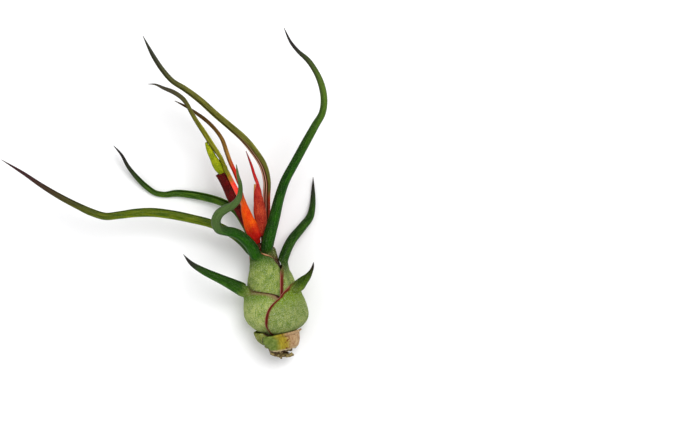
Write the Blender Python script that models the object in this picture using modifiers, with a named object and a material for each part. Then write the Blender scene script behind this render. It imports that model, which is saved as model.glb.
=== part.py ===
"""Bulbosa air plant, lying on its side on a flat surface, as it was photographed from straight above.

The bulb is a stack of inflated leaf bases. Each one wraps over the leaves inside it, round a short stem.
Above the bulb each leaf curls up into a hollow blade that tapers to a point. The stem goes on as the stalk
of the flower head: two spikes and three red bracts with long narrow tips.

Lengths here are millimetres until a mesh is made. +Z is up, the table is at Z = 0, and the origin is the
middle of the flat spot that the bulb's belly rests on.
"""

import math

import bmesh
import bpy
import numpy as np

MM = 0.001
UP = np.array((0.0, 0.0, 1.0))

# How a place in the photograph becomes a real one. The bulb is 62 pixels across there and 24 mm in life.
MM_PER_PIXEL = 0.38
PHOTO_MIDDLE = (339.5, 215.5)
REST_PIXEL = (269.4, 309.9)
LENS_HEIGHT = 900.0

# Walls and the room between them
WALL = 0.75
BRACT_WALL = 0.6
GAP = 0.45
MARGIN_HUG = 8
TIP_WIDTH = 0.8
CLOSED_CURL = 158.0
OPEN_CURL = 95.0
CURL_WIDTH = 2.2
TIP_FLESH = 0.07
RUN_IN = 0.7

# The map of how far out the plant reaches, which keeps the layers of the bulb apart
MAP_STEP = 0.5
MAP_TURNS = 72
MAP_SPREAD_HEIGHT = 1
MAP_SPREAD_TURN = 2
MAP_REACH = 20.0
HUG_POINTS = 61
HUG_TURNS = 25

# Mesh fineness
LEAF_POINTS = 9
WIDE_LEAF_POINTS = 15
BRACT_POINTS = 9
ROW_SPACING = 4.3
ROW_BEND = math.radians(24.0)
SPINE_STEP = 0.4
TUBE_ROUNDING = 2


def from_photo(pixel_x, pixel_y, height):
    """The place that the lens sees at this pixel, at this height above the table."""
    scale = MM_PER_PIXEL * (1.0 - height / LENS_HEIGHT)
    lens_x = (PHOTO_MIDDLE[0] - REST_PIXEL[0]) * MM_PER_PIXEL
    lens_y = (REST_PIXEL[1] - PHOTO_MIDDLE[1]) * MM_PER_PIXEL
    return np.array((
        lens_x + (pixel_x - PHOTO_MIDDLE[0]) * scale,
        lens_y + (PHOTO_MIDDLE[1] - pixel_y) * scale,
        height,
    ))


def unit(vector):
    return vector / np.linalg.norm(vector)


def ease(share):
    """A step from 0 to 1 with soft ends."""
    share = np.clip(share, 0.0, 1.0)
    return share * share * (3.0 - 2.0 * share)


# The bulb's own axis, from the stem's foot to the neck
BULB_FOOT = from_photo(281.0, 350.0, 9.3)
BULB_NECK = from_photo(264.5, 252.0, 12.6)
BULB_LENGTH = 47.0
SPIKE_LEFT = (from_photo(258.4, 245.0, 15.4), from_photo(210.2, 149.1, 23.0), 43.0)
SPIKE_RIGHT = (from_photo(264.0, 243.5, 12.6), from_photo(256.0, 184.0, 18.4), 27.0)


class Girth:
    """How far the plant already reaches out from an axis, at each height along it and each turn round it.

    Turn 0 points right in the photograph, and 90 degrees points up to the lens.
    """

    def __init__(self, foot, top, length):
        self.foot = foot
        self.along = unit(top - foot)
        self.right = unit(np.cross(self.along, UP))
        self.front = np.cross(self.right, self.along)
        self.length = length
        self.reach = np.zeros((int(length / MAP_STEP) + 1, MAP_TURNS))
        self.hull = self.reach

    def place(self, height, turn, radius):
        """Points at these heights, turns in radians and radii."""
        height, turn, radius = np.broadcast_arrays(height, turn, radius)
        return (
            self.foot
            + height[..., None] * self.along
            + (radius * np.cos(turn))[..., None] * self.right
            + (radius * np.sin(turn))[..., None] * self.front
        )

    def measure(self, points):
        """The height, turn and radius of each point."""
        offset = points - self.foot
        right, front = offset @ self.right, offset @ self.front
        return offset @ self.along, np.arctan2(front, right), np.hypot(right, front)

    def add(self, points, half_wall):
        """Counts a layer in, given points all over its middle surface, and spreads its edges out evenly."""
        height, turn, radius = self.measure(points)
        near = (height > 0) & (height < self.length) & (radius < MAP_REACH)
        rows = np.rint(height[near] / MAP_STEP).astype(int)
        columns = np.rint(turn[near] / math.tau * MAP_TURNS).astype(int) % MAP_TURNS
        reach = (radius + half_wall)[near]
        np.maximum.at(self.reach, (rows, columns), reach)
        widest = self.spread(self.reach, np.maximum.reduce)
        self.hull = self.spread(widest, lambda layers: sum(layers) / len(layers))

    @staticmethod
    def spread(grid, combine):
        """Combines each cell with its neighbours, first along the axis and then round it."""
        padded = np.pad(grid, ((MAP_SPREAD_HEIGHT, MAP_SPREAD_HEIGHT), (0, 0)), mode="edge")
        rows = len(grid)
        grid = combine([padded[i : i + rows] for i in range(2 * MAP_SPREAD_HEIGHT + 1)])
        return combine([np.roll(grid, i, axis=1) for i in range(-MAP_SPREAD_TURN, MAP_SPREAD_TURN + 1)])

    def clear(self, height, turn):
        """The radius outside what is there, which fades away past the end of the axis."""
        row = np.clip(height / MAP_STEP, 0, len(self.hull) - 1.001)
        column = (turn / math.tau * MAP_TURNS) % MAP_TURNS
        r, c = row.astype(int), column.astype(int) % MAP_TURNS
        down, side = row - r, column - np.floor(column)
        after = (c + 1) % MAP_TURNS
        low = self.hull[r, c] * (1 - side) + self.hull[r, after] * side
        high = self.hull[r + 1, c] * (1 - side) + self.hull[r + 1, after] * side
        past_end = ease((height - self.length + 3.0) / 3.0)
        return (low * (1 - down) + high * down) * (1 - past_end) * (height > -1.0)


def smooth_rows(rows):
    """A smooth curve through rows of values that start with a place, with a point every SPINE_STEP along it.

    The values after the place never swing past the ones they join. The second result is where each row comes.
    """
    rows = np.array(rows, float)
    steps = np.linalg.norm(np.diff(rows[:, :3], axis=0), axis=1)
    slopes = np.diff(rows, axis=0) / steps[:, None]
    before, after = slopes[:-1], slopes[1:]
    place = (before * steps[1:, None] + after * steps[:-1, None]) / (steps[:-1] + steps[1:])[:, None]
    product = before * after
    value = np.where(product > 0, 2 * product / (before + after + (product <= 0)), 0.0)
    middle = np.where(np.arange(rows.shape[1]) < 3, place, value)
    tangents = np.vstack((slopes[:1], middle, slopes[-1:]))
    points, marks = [], [0]
    for i, step in enumerate(steps):
        last = i == len(steps) - 1
        t = np.linspace(0.0, 1.0, max(2, math.ceil(step / SPINE_STEP)), endpoint=last)[:, None]
        points.append(
            (1 + 2 * t) * (1 - t) ** 2 * rows[i]
            + t * (1 - t) ** 2 * step * tangents[i]
            + t * t * (3 - 2 * t) * rows[i + 1]
            + t * t * (t - 1) * step * tangents[i + 1]
        )
        marks.append(marks[-1] + len(t) - last)
    return np.vstack(points), marks


def sheath_ribs(leaf, girth, across, run_on, extra_count):
    """Arcs round the girth's axis for the leaf's base, and extra ones like the last over run_on more."""
    rows = [
        (height, radius, 0.0, math.radians(half_turn), math.radians(*(skew or (0.0,))))
        for height, radius, half_turn, *skew in leaf["sheath"]
    ]
    base, _ = smooth_rows(rows)
    extra = np.repeat(base[-1:], extra_count, axis=0)
    extra[:, 0] += run_on * np.arange(1, extra_count + 1) / (extra_count + 1)
    height, radius, _, half_turn, skew = np.vstack((base, extra)).T[:, :, None]
    ribs = girth.place(height, math.radians(leaf["turn"]) + skew + half_turn * across, radius)
    return ribs[: len(base)], ribs[len(base) :]


def blade_ribs(leaf, start, outward, upward, across):
    """The ribs of the leaf's blade, arcs round its own middle, from where its back leaves the sheath.

    The last result is how many of them come before the first row of the blade's table.
    """
    rows = []
    for pixel_x, pixel_y, height, width, *curl in leaf["blade"]:
        wall = min(leaf.get("wall", WALL), 0.5 * width - TIP_FLESH)
        closing = OPEN_CURL + (CLOSED_CURL - OPEN_CURL) * min(1.0, (width - TIP_WIDTH) / CURL_WIDTH)
        half_turn = math.radians(*(curl or (closing,)))
        rows.append((*from_photo(pixel_x, pixel_y, height), (width - wall) / 2, half_turn, wall))
    root = start - rows[0][3] * outward
    run_in = RUN_IN * np.linalg.norm(rows[0][:3] - root)
    spine, marks = smooth_rows([(*(root - run_in * upward), *rows[0][3:]), (*root, *rows[0][3:]), *rows])
    tangent = np.gradient(spine[:, :3], axis=0)[marks[1] :]
    spine = spine[marks[1] :]
    place, radius, half_turn, wall = spine[:, :3], spine[:, 3], spine[:, 4], spine[:, 5]
    ribs = np.empty((len(spine), len(across), 3))
    for i in range(len(spine)):
        upward = unit(tangent[i])
        outward = unit(outward - (outward @ upward) * upward)
        side = np.cross(outward, upward)
        angle = (across * half_turn[i])[:, None]
        ribs[i] = place[i] + radius[i] * (np.cos(angle) * outward + np.sin(angle) * side)
    return ribs, wall, marks[2] - marks[1]


def leaf_surface(leaf, girth, across):
    """The leaf's middle surface, as ribs from its foot to its tip, and the wall at each rib.

    Across runs from -1 at one edge of the leaf through 0 at its back to 1 at the other edge. Where the blade
    starts, the ribs pass smoothly from the one kind to the other. No rib goes through what is there already.
    """
    turn = math.radians(leaf["turn"])
    outward = math.cos(turn) * girth.right + math.sin(turn) * girth.front
    wall = leaf.get("wall", WALL)
    if "blade" in leaf:
        height, radius = leaf["sheath"][-1][:2]
        start = girth.foot + height * girth.along + radius * outward
        blade, blade_wall, first = blade_ribs(leaf, start, outward, girth.along, across)
        run_on = (blade[first] - blade[0]).mean(axis=0) @ girth.along
        base, extra = sheath_ribs(leaf, girth, across, run_on, first)
        share = ease(np.arange(1, first + 1) / (first + 1))
        mixed = extra + share[:, None, None] * (blade[1 : first + 1] - extra)
        ribs = np.vstack((base, mixed, blade[first + 1 :]))
        share = np.concatenate((np.zeros(len(base)), share, np.ones(len(blade) - first - 1)))
        wall = np.concatenate((np.full(len(base), wall), blade_wall[1:]))
    else:
        ribs, _ = sheath_ribs(leaf, girth, across, 0.0, 0)
        share = np.zeros(len(ribs))
        wall = np.full(len(ribs), wall)
    height, angle, reach = girth.measure(ribs)
    beside = leaf.get("gap", GAP) + wall[:, None] / 2
    clear = girth.clear(height, angle) + beside
    hug = np.abs(across) ** MARGIN_HUG * (1 - share)[:, None]
    settled = np.maximum(reach + (clear - reach) * hug, clear)
    settled = np.where(clear > beside + 0.05, settled, reach)
    return girth.place(height, angle, settled), wall


def chosen_rows(back, spacing=ROW_SPACING):
    """Which of the closely spaced ribs go into the mesh: more of them where the leaf's back bends."""
    steps = np.diff(back, axis=0)
    lengths = np.linalg.norm(steps, axis=1)
    along = steps / lengths[:, None]
    bends = np.arccos(np.clip((along[1:] * along[:-1]).sum(axis=1), -1.0, 1.0))
    by_length = np.concatenate(((0.0,), lengths / spacing))
    by_bend = np.concatenate(((0.0,), bends / ROW_BEND, (0.0,)))
    run = np.cumsum(by_length + by_bend)
    count = max(4, round(run[-1]) + 1)
    return np.unique(np.searchsorted(run, np.linspace(0.0, run[-1], count) - 1e-9))


def make_material(name, colour, roughness):
    material = bpy.data.materials.new(name)
    material.use_nodes = True
    shader = material.node_tree.nodes["Principled BSDF"]
    shader.inputs["Base Color"].default_value = (*colour, 1.0)
    shader.inputs["Roughness"].default_value = roughness
    shader.inputs["Metallic"].default_value = 0.0
    return material


def add_object(name, mesh, material, collection):
    mesh.materials.append(material)
    mesh.shade_smooth()
    made = bpy.data.objects.new(name, mesh)
    collection.objects.link(made)
    return made


def add_leaf(name, leaf, girth, others, material, collection):
    """A leaf as an open sheet, bent from a flat grid, with a Solidify wall. Girth and others count it in."""
    count = leaf.get("points", LEAF_POINTS)
    points, wall = leaf_surface(leaf, girth, np.linspace(-1, 1, count))
    rows = chosen_rows(points[:, count // 2], leaf.get("spacing", ROW_SPACING))
    points, wall = points[rows] * MM, wall[rows]
    sheet = bmesh.new()
    bmesh.ops.create_grid(sheet, x_segments=count - 1, y_segments=len(rows) - 1, size=1.0)
    thickness = sheet.verts.layers.deform.verify()
    for vert in sheet.verts:
        rib = round((vert.co.y + 1) / 2 * (len(rows) - 1))
        across = round((vert.co.x + 1) / 2 * (count - 1))
        vert[thickness][0] = wall[rib] / WALL
        vert.co = points[rib, across]
    mesh = bpy.data.meshes.new(name)
    sheet.to_mesh(mesh)
    sheet.free()
    made = add_object(name, mesh, material, collection)
    made.vertex_groups.new(name="wall")
    solidify = made.modifiers.new("wall", "SOLIDIFY")
    solidify.thickness = WALL * MM
    solidify.offset = 0.0
    solidify.vertex_group = "wall"
    solidify.use_even_offset = False
    fine, wall = leaf_surface(leaf, girth, np.linspace(-1, 1, HUG_POINTS))
    for each in (girth, *others):
        each.add(fine, wall[:, None] / 2)
    return made


def tube_mesh(name, route):
    """A round stalk along a smooth route, given as rows of pixel x, pixel y, height and radius."""
    rows, _ = smooth_rows([(*from_photo(*row[:3]), row[3]) for row in route])
    rows = rows[chosen_rows(rows[:, :3])]
    curve = bpy.data.curves.new(name, "CURVE")
    curve.dimensions = "3D"
    curve.bevel_depth = MM
    curve.bevel_resolution = TUBE_ROUNDING
    curve.use_fill_caps = True
    spline = curve.splines.new("POLY")
    spline.points.add(len(rows) - 1)
    for point, row in zip(spline.points, rows):
        point.co = (*(row[:3] * MM), 1.0)
        point.radius = row[3]
    guide = bpy.data.objects.new(name, curve)
    mesh = bpy.data.meshes.new_from_object(guide)
    bpy.data.objects.remove(guide)
    closed = bmesh.new()
    closed.from_mesh(mesh)
    bmesh.ops.remove_doubles(closed, verts=closed.verts, dist=1e-6)
    bmesh.ops.recalc_face_normals(closed, faces=closed.faces)
    closed.to_mesh(mesh)
    closed.free()
    return mesh, rows


def add_branched(name, routes, material, collection, cutters):
    """Stalks grown out of each other, joined into one body. Each comes with the girths that count it in."""
    made = None
    for number, (route, *girths) in enumerate(routes):
        mesh, rows = tube_mesh(f"{name}_{number}", route)
        for girth in girths:
            count_tube(girth, rows)
        if made is None:
            made = add_object(name, mesh, material, collection)
            continue
        join = made.modifiers.new("joint", "BOOLEAN")
        join.operation = "UNION"
        join.solver = "EXACT"
        join.object = add_object(f"{name}_{number}", mesh, material, cutters)
        join.object.hide_render = True
        join.object.display_type = "WIRE"
    return made


def count_tube(girth, rows):
    fine, _ = smooth_rows(rows)
    turns = np.linspace(0, math.tau, HUG_TURNS)[None, :, None]
    offset = np.cos(turns) * girth.right + np.sin(turns) * girth.front
    girth.add(fine[:, None, :3] + fine[:, None, 3:4] * offset, 0.0)


# Each leaf: the turn of its back round the bulb, its sheath as rows of height along the axis, radius and half
# turn, and its blade as rows of pixel x, pixel y, height above the table and width.
LEAVES = {
    "leaf_tall_olive": {
        "colour": (0.14, 0.13, 0.03), "turn": 305.0,
        "sheath": [(17.0, 2.4, 95), (21.0, 3.2, 90), (26.0, 3.4, 80), (31.0, 3.4, 75), (36.0, 3.1, 65)],
        "blade": [
            (264.8, 240.0, 9.6, 3.1), (265.8, 228.0, 10.6, 3.0), (266.4, 218.0, 11.8, 2.9),
            (266.5, 208.9, 13.2, 2.9),
            (266.4, 197.0, 15.0, 2.9), (266.8, 181.0, 17.5, 3.0), (262.8, 165.2, 20.5, 3.1),
            (254.0, 151.2, 22.5, 3.1), (243.8, 139.0, 25.0, 3.0), (230.8, 127.4, 27.0, 2.8),
            (215.6, 114.6, 29.0, 2.7), (200.0, 100.5, 31.0, 2.6), (184.7, 89.1, 33.0, 2.4),
            (172.2, 81.2, 34.5, 2.2), (163.0, 71.1, 36.0, 2.1), (153.9, 57.6, 38.0, 1.9),
            (142.8, 35.8, 41.0, 0.8),
        ],
    },
    "leaf_left": {
        "colour": (0.03, 0.10, 0.02), "turn": 232.0,
        "sheath": [(15.2, 2.4, 95), (19.0, 3.4, 90), (24.0, 4.0, 85), (29.0, 4.2, 76), (34.0, 4.0, 65)],
        "blade": [
            (254.5, 242.0, 9.0, 3.6), (245.0, 223.0, 7.8, 3.4), (235.0, 209.5, 6.8, 3.1),
            (222.0, 202.2, 5.6, 3.1), (206.6, 197.4, 4.1, 3.1), (191.3, 194.5, 2.7, 3.0),
            (176.0, 193.1, 1.6, 2.8), (163.8, 194.3, 1.05, 2.35), (156.0, 192.9, 1.1, 2.3),
            (147.0, 187.0, 1.8, 2.3), (137.8, 178.1, 3.2, 2.1), (127.8, 165.4, 5.0, 1.7),
            (122.2, 155.2, 6.4, 1.3), (113.6, 145.6, 8.0, 0.8),
        ],
    },
    "leaf_tall_right": {
        "colour": (0.02, 0.10, 0.02), "turn": 42.0,
        "sheath": [
            (13.6, 2.8, 100), (17.0, 4.6, 95), (22.0, 5.6, 92), (27.0, 5.1, 86), (32.0, 4.1, 80, 5),
            (36.0, 3.1, 80, 14),
        ],
        "blade": [
            (267.3, 244.0, 17.6, 4.9), (270.6, 230.5, 18.8, 4.7), (274.4, 216.5, 20.6, 4.4),
            (278.4, 200.0, 23.0, 4.0), (284.6, 181.4, 27.0, 3.7), (295.6, 160.7, 31.0, 3.5),
            (305.2, 143.0, 35.0, 3.4), (315.2, 125.0, 38.5, 3.1), (321.9, 113.2, 40.0, 2.8),
            (323.8, 100.7, 42.0, 2.7), (321.6, 86.0, 44.0, 2.6), (316.3, 73.0, 46.0, 2.3),
            (307.9, 60.5, 47.5, 2.1), (297.5, 51.0, 49.0, 1.6), (291.0, 43.0, 50.0, 1.3),
            (284.0, 28.0, 51.0, 0.8),
        ],
    },
    "leaf_long_left": {
        "colour": (0.09, 0.12, 0.03), "turn": 192.0,
        "sheath": [
            (12.0, 2.8, 100), (15.5, 5.0, 95), (20.0, 6.2, 90), (25.0, 6.2, 85), (30.0, 5.2, 74),
            (34.0, 4.2, 60),
        ],
        "blade": [
            (250.8, 250.5, 12.6, 3.8), (241.0, 240.0, 13.0, 3.6), (227.0, 230.5, 13.8, 3.4),
            (211.2, 223.5, 14.8, 3.4), (191.3, 218.4, 16.2, 3.5), (171.4, 214.4, 17.2, 3.6),
            (153.0, 212.2, 18.0, 3.6), (134.7, 212.8, 18.6, 3.4), (119.4, 214.8, 19.0, 3.1),
            (105.6, 216.1, 19.4, 3.0), (91.5, 212.0, 20.0, 3.0), (76.5, 205.0, 21.0, 2.7),
            (61.2, 197.0, 22.0, 2.5), (41.3, 184.9, 23.0, 2.1), (23.0, 172.4, 24.0, 1.6),
            (1.4, 159.6, 25.0, 0.8),
        ],
    },
    "leaf_hook": {
        "colour": (0.13, 0.20, 0.08), "turn": 128.0, "points": WIDE_LEAF_POINTS,
        "sheath": [
            (9.8, 3.2, 99), (12.0, 6.0, 101, 3), (15.5, 8.1, 103, 4), (20.0, 8.8, 103, 4),
            (25.0, 8.4, 98), (29.0, 7.5, 87, -11), (32.0, 6.4, 74, -16), (34.0, 5.6, 62, -18),
        ],
        "blade": [
            (255.8, 254.5, 16.9, 4.9), (252.0, 247.3, 19.3, 4.5), (245.2, 239.3, 22.8, 4.2),
            (235.0, 232.6, 27.0, 3.9), (225.5, 230.6, 30.5, 3.8), (218.6, 228.6, 33.5, 3.6),
            (216.0, 220.8, 36.0, 3.6), (219.4, 213.4, 38.0, 3.5), (225.6, 209.0, 39.5, 3.2),
            (232.4, 205.6, 41.0, 2.8), (238.0, 199.8, 42.5, 2.4), (240.4, 191.5, 44.0, 1.9),
            (240.1, 183.0, 46.0, 1.6), (238.0, 175.0, 48.0, 1.2), (236.3, 164.5, 50.0, 0.8),
        ],
    },
    "leaf_right": {
        "colour": (0.05, 0.13, 0.03), "turn": 6.0, "points": 11,
        "sheath": [
            (8.2, 3.3, 75), (10.5, 6.3, 80), (14.0, 8.8, 76), (18.0, 9.5, 68), (22.9, 9.4, 56),
            (26.7, 8.7, 45),
            (29.3, 7.7, 38),
        ],
        "blade": [
            (282.6, 260.5, 13.6, 4.2), (285.2, 252.5, 13.0, 4.1), (290.4, 241.5, 11.0, 4.0),
            (301.4, 227.5, 7.4, 3.6), (309.6, 216.5, 4.6, 3.2), (312.0, 206.0, 2.4, 2.7),
            (312.5, 196.0, 1.0, 2.25), (312.5, 187.0, 1.7, 1.6), (312.9, 176.8, 3.2, 0.8),
        ],
    },
    "leaf_low_left": {
        "colour": (0.17, 0.22, 0.10), "turn": 168.0, "points": WIDE_LEAF_POINTS, "gap": 0.6, "spacing": 3.0,
        "sheath": [
            (5.8, 4.0, 95), (7.2, 5.1, 105), (8.2, 6.2, 112), (9.3, 7.6, 118), (10.6, 9.0, 122),
            (12.2, 10.25, 124), (14.5, 11.1, 125), (17.0, 11.1, 119), (19.2, 10.75, 108), (21.0, 10.3, 95),
        ],
        "blade": [
            (242.8, 289.8, 15.8, 5.4), (233.0, 284.6, 17.4, 4.7), (222.8, 279.7, 19.0, 3.9),
            (213.3, 275.4, 20.4, 3.4), (203.7, 270.8, 21.6, 2.9), (192.2, 263.5, 23.0, 2.1),
            (183.5, 254.4, 24.0, 0.8),
        ],
    },
    "leaf_low_right": {
        "colour": (0.16, 0.24, 0.09), "turn": 33.0, "points": WIDE_LEAF_POINTS,
        "sheath": [
            (4.6, 4.2, 72, -3), (6.0, 5.6, 78, -3), (7.0, 6.8, 82, -4), (8.3, 9.4, 83, -5),
            (10.4, 11.6, 83, -5),
            (14.5, 12.2, 77, -4), (17.5, 11.6, 67, -2), (19.8, 10.9, 52), (21.0, 10.8, 42),
        ],
        "blade": [
            (298.6, 285.4, 19.0, 4.8), (303.3, 280.3, 20.6, 3.9), (307.6, 275.9, 22.0, 2.8),
            (310.4, 271.2, 23.0, 1.9), (312.5, 266.3, 24.0, 1.2), (313.4, 262.2, 24.8, 0.8),
        ],
    },
    "dry_sheath": {
        "colour": (0.36, 0.24, 0.12), "turn": 80.0,
        "sheath": [(-0.3, 3.5, 146), (0.5, 4.1, 156), (1.4, 4.4, 156), (2.2, 4.5, 148)],
    },
    "old_sheath_left": {
        "colour": (0.22, 0.26, 0.12), "turn": 195.0,
        "sheath": [
            (2.0, 4.4, 70), (2.9, 5.4, 90), (4.0, 7.0, 96), (5.2, 8.0, 94), (6.8, 8.5, 88), (8.2, 8.7, 74),
        ],
    },
    "old_sheath_front": {
        "colour": (0.30, 0.26, 0.13), "turn": 58.0,
        "sheath": [
            (0.4, 5.2, 76, -12), (1.2, 6.4, 82, -12), (2.4, 7.1, 85, -10), (3.6, 7.5, 86, -9),
            (4.8, 7.6, 82, -7),
            (6.0, 7.7, 72), (6.9, 7.7, 60, 6),
        ],
    },
}

FLOWER_LEAVES = {
    "spike_left_green_bract": {
        "colour": (0.32, 0.42, 0.02), "axis": "left", "turn": 140.0,
        "sheath": [
            (21.0, 0.7, 120), (25.0, 0.8, 130), (28.5, 1.0, 128), (30.8, 1.2, 120), (32.4, 1.7, 112),
            (34.2, 1.8, 104), (36.4, 1.4, 92), (38.2, 0.9, 82), (39.6, 0.45, 66),
        ],
    },
    "spike_left_dark_bract": {
        "colour": (0.10, 0.01, 0.01), "axis": "left", "turn": 150.0,
        "sheath": [
            (3.6, 1.3, 80), (9.0, 1.6, 95), (14.5, 2.0, 98), (20.5, 2.3, 98), (25.5, 2.2, 96),
            (29.3, 2.1, 90),
            (30.6, 2.05, 80),
        ],
    },
    "bract_left": {
        "colour": (0.70, 0.10, 0.05), "axis": "left", "turn": -14.0,
        "sheath": [
            (3.6, 1.15, 82, -12), (7.5, 1.35, 90, -5), (14.5, 1.8, 88), (21.0, 2.35, 84), (26.0, 2.45, 82),
            (30.5, 2.3, 80),
        ],
        "blade": [
            (220.4, 159.0, 23.6, 2.2), (210.6, 143.5, 23.8, 2.3), (203.0, 131.6, 24.6, 2.2),
            (195.6, 120.6, 25.8, 2.0),
            (190.6, 112.0, 27.2, 1.9), (187.2, 105.4, 28.4, 1.9), (182.8, 99.4, 29.4, 2.1),
            (174.0, 93.0, 30.4, 2.1), (163.0, 88.5, 31.4, 1.7), (155.0, 85.0, 32.2, 1.1),
            (148.0, 84.2, 33.0, 0.8),
        ],
    },
    "bract_middle": {
        "colour": (0.85, 0.16, 0.02), "axis": "left", "turn": 44.0,
        "sheath": [
            (1.0, 1.5, 34, 34), (2.6, 1.7, 50, 32), (5.0, 1.95, 56, 30), (8.0, 2.1, 58, 24),
            (11.6, 2.3, 50, 14),
            (15.6, 2.5, 36, 4), (17.4, 2.6, 28),
        ],
        "blade": [
            (240.2, 187.0, 19.2, 1.9), (234.8, 172.6, 18.8, 1.8), (230.0, 162.0, 18.4, 1.8),
            (226.4, 152.0, 18.4, 1.8), (221.9, 139.5, 18.8, 1.7), (214.2, 128.6, 19.6, 1.6),
            (205.0, 119.8, 20.4, 1.6), (195.0, 112.6, 21.2, 1.4), (186.0, 106.8, 21.8, 1.1),
            (174.6, 100.8, 22.4, 0.8),
        ],
    },
    "spike_right_bract": {
        "colour": (0.50, 0.20, 0.04), "axis": "right", "turn": 152.0,
        "sheath": [
            (3.6, 0.9, 80), (8.0, 1.1, 105), (13.0, 1.4, 106), (17.0, 1.35, 96), (20.5, 0.95, 84),
            (23.0, 0.5, 68),
        ],
    },
    "bract_right": {
        "colour": (0.60, 0.03, 0.02), "axis": "right", "turn": 48.0,
        "sheath": [
            (3.6, 1.2, 82, -8), (8.0, 1.9, 104, 9), (12.0, 2.2, 108, 12), (16.0, 1.8, 90, 4),
            (19.0, 1.3, 80),
        ],
        "blade": [
            (256.9, 183.0, 19.0, 1.5), (254.1, 175.0, 20.2, 1.3), (251.4, 166.0, 21.6, 1.1),
            (246.0, 151.0, 24.0, 0.8),
        ],
    },
}
for bract in FLOWER_LEAVES.values():
    bract.update(wall=BRACT_WALL, points=BRACT_POINTS)

# What touches the table
RESTING = ("leaf_low_left", "leaf_left", "leaf_right")
GROUND_SIZE = 400.0

STEM_COLOUR = (0.30, 0.24, 0.10)
ROOT_COLOUR = (0.20, 0.12, 0.06)
LEAF_ROUGHNESS = 0.5
BRACT_ROUGHNESS = 0.45
STALK_ROUGHNESS = 0.6
ROOT_ROUGHNESS = 0.85

# Stalks and roots, as rows of pixel x, pixel y, height above the table and radius
STEM = [
    (281.6, 352.0, 9.6, 2.9), (280.4, 346.0, 9.7, 3.1), (276.0, 320.0, 10.6, 2.0),
    (271.5, 294.0, 11.5, 1.5),
    (266.0, 260.0, 12.8, 1.2), (260.5, 247.0, 14.7, 1.1), (255.0, 238.5, 16.4, 0.75),
    (242.9, 215.0, 18.2, 0.6),
    (236.4, 201.4, 19.2, 0.45),
]
SIDE_STALK = [
    (265.8, 258.5, 12.9, 0.7), (264.5, 247.0, 12.6, 0.75), (263.0, 236.0, 13.4, 0.7),
    (259.5, 210.0, 15.9, 0.45),
]
CROWN = [(281.9, 353.2, 9.3, 2.4), (282.4, 355.4, 9.1, 1.7)]
ROOTS = [
    [(281.4, 354.9, 10.4, 0.7), (275.6, 354.9, 12.6, 0.6), (270.6, 353.3, 13.0, 0.45)],
    [(283.4, 354.9, 10.4, 0.8), (288.2, 355.0, 12.2, 0.65), (292.2, 353.7, 12.8, 0.5)],
    [(283.0, 354.9, 9.0, 0.7), (288.6, 355.7, 7.6, 0.6), (293.2, 354.7, 6.4, 0.45)],
    [(281.6, 354.9, 8.8, 0.7), (280.4, 356.7, 9.6, 0.55), (281.2, 357.9, 10.6, 0.4)],
    [(281.4, 354.9, 8.6, 0.7), (276.4, 355.5, 6.8, 0.55), (273.0, 354.5, 5.4, 0.45)],
]


def add_ground_cutter(helpers):
    """A block whose top is the table, so that the plant rests on small flats instead of three points."""
    block = bmesh.new()
    bmesh.ops.create_cube(block, size=GROUND_SIZE * MM)
    bmesh.ops.translate(block, verts=block.verts, vec=(0.0, 0.0, -GROUND_SIZE / 2 * MM))
    mesh = bpy.data.meshes.new("ground")
    block.to_mesh(mesh)
    block.free()
    cutter = bpy.data.objects.new("ground", mesh)
    cutter.hide_render = True
    cutter.display_type = "WIRE"
    helpers.objects.link(cutter)
    return cutter


def rest_on(made, ground):
    cut = made.modifiers.new("rest", "BOOLEAN")
    cut.operation = "DIFFERENCE"
    cut.solver = "EXACT"
    cut.object = ground


def main():
    for left_over in list(bpy.data.objects):
        bpy.data.objects.remove(left_over)
    plant = bpy.data.collections.new("bulbosa_air_plant")
    helpers = bpy.data.collections.new("helpers")
    helpers.hide_render = True
    bpy.context.scene.collection.children.link(plant)
    bpy.context.scene.collection.children.link(helpers)
    ground = add_ground_cutter(helpers)

    bulb = Girth(BULB_FOOT, BULB_NECK, BULB_LENGTH)
    axes = {"left": Girth(*SPIKE_LEFT), "right": Girth(*SPIKE_RIGHT)}
    stalks = [(STEM, bulb, axes["left"]), (SIDE_STALK, bulb, axes["right"])]
    add_branched("stem", stalks, make_material("stem", STEM_COLOUR, STALK_ROUGHNESS), plant, helpers)
    for name, leaf in FLOWER_LEAVES.items():
        material = make_material(name, leaf["colour"], BRACT_ROUGHNESS)
        add_leaf(name, leaf, axes[leaf["axis"]], (bulb,), material, plant)
    for name, leaf in LEAVES.items():
        material = make_material(name, leaf["colour"], LEAF_ROUGHNESS)
        made = add_leaf(name, leaf, bulb, (), material, plant)
        if name in RESTING:
            rest_on(made, ground)
    roots = [(CROWN,), *((root,) for root in ROOTS)]
    add_branched("roots", roots, make_material("roots", ROOT_COLOUR, ROOT_ROUGHNESS), plant, helpers)


main()
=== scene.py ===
# %% [markdown]
# # Dressing a bulbosa air plant
#
# A bulbosa air plant has no soil and hardly any roots. Its leaf bases swell and wrap round each other into a
# hollow bulb, and each leaf then rolls itself into a tapering tube that curls as it likes. This lesson takes
# the plain solids of such a plant and gives them fine leaves, silvery scales, maroon margins, a red flower
# head, a dry base, and the light of a photo studio.

# %% Load the plain solids
import math

import bmesh
import bpy
import numpy as np
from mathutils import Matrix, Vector, noise


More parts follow.
